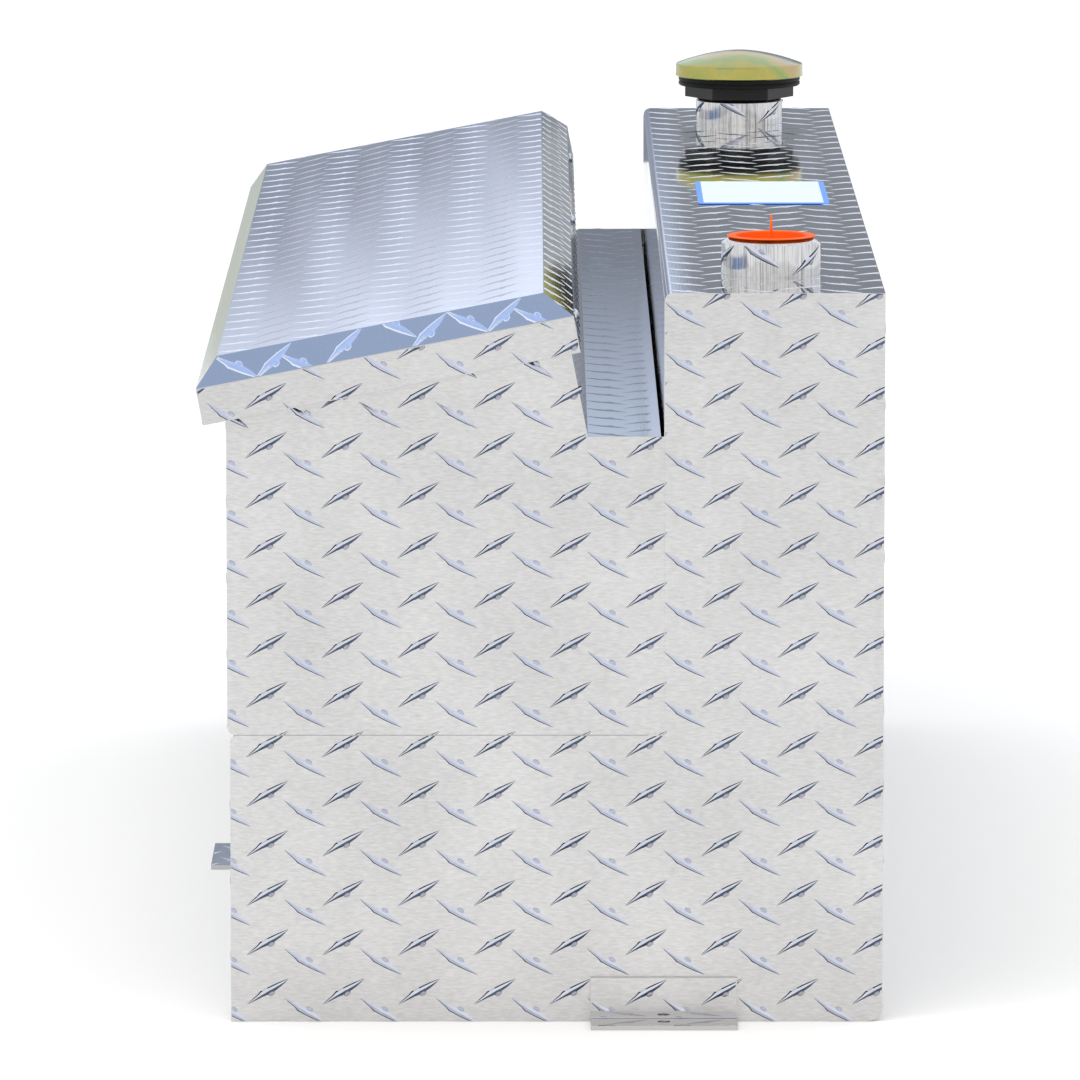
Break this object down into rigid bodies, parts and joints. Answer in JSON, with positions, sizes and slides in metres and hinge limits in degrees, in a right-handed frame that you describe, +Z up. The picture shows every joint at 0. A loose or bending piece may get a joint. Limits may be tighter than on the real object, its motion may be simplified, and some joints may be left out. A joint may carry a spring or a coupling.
{
  "type": "combination liquid tank and toolbox",
  "caption": "L-shaped tread-plate liquid tank with a slanted-lid toolbox seated on its step, a capped filler neck, a plugged outlet and hold-down brackets.",
  "frame": {"origin": "centre of the bounding box footprint, on the ground plane the tank stands on", "axes": "+X from the toolbox side to the tall back wall, +Y along the length from the outlet end to the filler end, +Z up"},
  "size_m": [0.546, 1.6006, 0.6374],
  "materials": {
    "tread_plate": "bright rolled tread plate with a fine brushed grain",
    "mill_aluminium": "mill finish",
    "polished_aluminium": "turned and polished",
    "zinc_steel": "clear zinc plate",
    "yellow_zinc": "yellow passivated zinc plate with an iridescent film",
    "black_plastic": "moulded, slightly satin",
    "black_rubber": "matt",
    "black_paint": "satin black paint",
    "orange_plastic": "thin flexible moulding",
    "label_vinyl": "blank white film with blue edges"
  },
  "bodies": {
    "tank": {"tank_floor_back_sheet": "tread_plate", "tank_front_top_sheet": "tread_plate", "tank_end_near": "tread_plate", "tank_end_far": "tread_plate", "toolbox_body_sheet": "tread_plate", "toolbox_slope_sheet": "tread_plate", "toolbox_end_near": "tread_plate", "toolbox_end_far": "tread_plate", "mount_bracket_near": "tread_plate", "mount_bracket_far": "tread_plate", "mount_bracket_front": "tread_plate", "tank_baffle_1": "mill_aluminium", "tank_baffle_2": "mill_aluminium", "tank_baffle_3": "mill_aluminium", "toolbox_rim": "mill_aluminium", "filler_neck": "polished_aluminium", "outlet_bung": "polished_aluminium", "latch_cup": "polished_aluminium", "hinge_leaf_box": "zinc_steel", "hinge_pin": "zinc_steel", "strut_stud_box_near": "zinc_steel", "strut_stud_box_far": "zinc_steel", "latch_paddle_pin": "zinc_steel", "latch_bolt_housing": "zinc_steel", "lid_seal": "black_rubber", "blank_label": "label_vinyl"},
    "lid": {"lid_skin": "tread_plate", "lid_inner_pan": "mill_aluminium", "lid_rib_1": "mill_aluminium", "lid_rib_2": "mill_aluminium", "lid_rib_3": "mill_aluminium", "hinge_leaf_lid": "zinc_steel", "hinge_rivet_1": "zinc_steel", "hinge_rivet_2": "zinc_steel", "hinge_rivet_3": "zinc_steel", "strut_hanger_lid_near": "zinc_steel", "strut_hanger_lid_far": "zinc_steel", "lid_striker": "zinc_steel"},
    "strut_rod_near": {"strut_rod_near": "polished_aluminium"},
    "strut_cylinder_near": {"strut_cylinder_near": "black_paint"},
    "strut_rod_far": {"strut_rod_far": "polished_aluminium"},
    "strut_cylinder_far": {"strut_cylinder_far": "black_paint"},
    "cap_gasket": {"cap_gasket": "black_rubber"},
    "filler_cap": {"cap_hex_base": "black_plastic", "cap_seal_ring": "black_rubber", "cap_dome": "yellow_zinc", "cap_vent_disc": "black_plastic"},
    "bung_plug": {"bung_plug": "orange_plastic"},
    "latch_paddle": {"latch_paddle": "polished_aluminium"},
    "lock_cylinder": {"lock_cylinder": "zinc_steel"},
    "latch_bolt": {"latch_bolt": "zinc_steel"}
  },
  "joints": [
    {"name": "lid_hinge", "type": "hinge", "parent": "tank", "child": "lid", "pos_m": [0.03268, 0, 0.52791], "axis": [0, 1, 0], "range_deg": [0, 85]},
    {"name": "strut_near_swing", "type": "hinge", "parent": "lid", "child": "strut_rod_near", "pos_m": [-0.07721, -0.722, 0.51674], "axis": [0, 1, 0], "range_deg": [-80.2, 0]},
    {"name": "strut_near_stroke", "type": "slide", "parent": "strut_rod_near", "child": "strut_cylinder_near", "axis": [-0.3897, 0, -0.9209], "range_m": [0, 0.14646]},
    {"name": "strut_far_swing", "type": "hinge", "parent": "lid", "child": "strut_rod_far", "pos_m": [-0.07721, 0.722, 0.51674], "axis": [0, 1, 0], "range_deg": [-80.2, 0]},
    {"name": "strut_far_stroke", "type": "slide", "parent": "strut_rod_far", "child": "strut_cylinder_far", "axis": [-0.3897, 0, -0.9209], "range_m": [0, 0.14646]},
    {"name": "filler_cap_lift", "type": "slide", "parent": "tank", "child": "cap_gasket", "axis": [0, 0, 1], "range_m": [0, 0.01216]},
    {"name": "filler_cap_turn", "type": "hinge", "parent": "cap_gasket", "child": "filler_cap", "pos_m": [0.18775, 0.626, 0.6], "axis": [0, 0, 1], "range_deg": [0, 1980]},
    {"name": "bung_plug_pull", "type": "slide", "parent": "tank", "child": "bung_plug", "axis": [0, 0, 1], "range_m": [0, 0.03]},
    {"name": "latch_paddle_pull", "type": "hinge", "parent": "tank", "child": "latch_paddle", "pos_m": [-0.2304, 0, 0.44], "axis": [0, 1, 0], "range_deg": [0, 40], "stiffness_Nm_per_rad": 0.3},
    {"name": "latch_bolt_slide", "type": "slide", "parent": "tank", "child": "latch_bolt", "axis": [-1, 0, 0], "range_m": [0, 0.0101]},
    {"name": "lock_cylinder_turn", "type": "hinge", "parent": "latch_paddle", "child": "lock_cylinder", "pos_m": [-0.237, 0, 0.416], "axis": [-1, 0, 0], "range_deg": [0, 90]}
  ],
  "couplings": [
    {"joint": "strut_near_swing", "follows": "lid_hinge", "ratio": -0.94338},
    {"joint": "strut_near_stroke", "follows": "lid_hinge", "m_per_rad": 0.098718},
    {"joint": "strut_far_swing", "follows": "lid_hinge", "ratio": -0.94338},
    {"joint": "strut_far_stroke", "follows": "lid_hinge", "m_per_rad": 0.098718},
    {"joint": "filler_cap_lift", "follows": "filler_cap_turn", "m_per_rad": 0.00035157},
    {"joint": "latch_bolt_slide", "follows": "latch_paddle_pull", "m_per_rad": 0.014324}
  ]
}
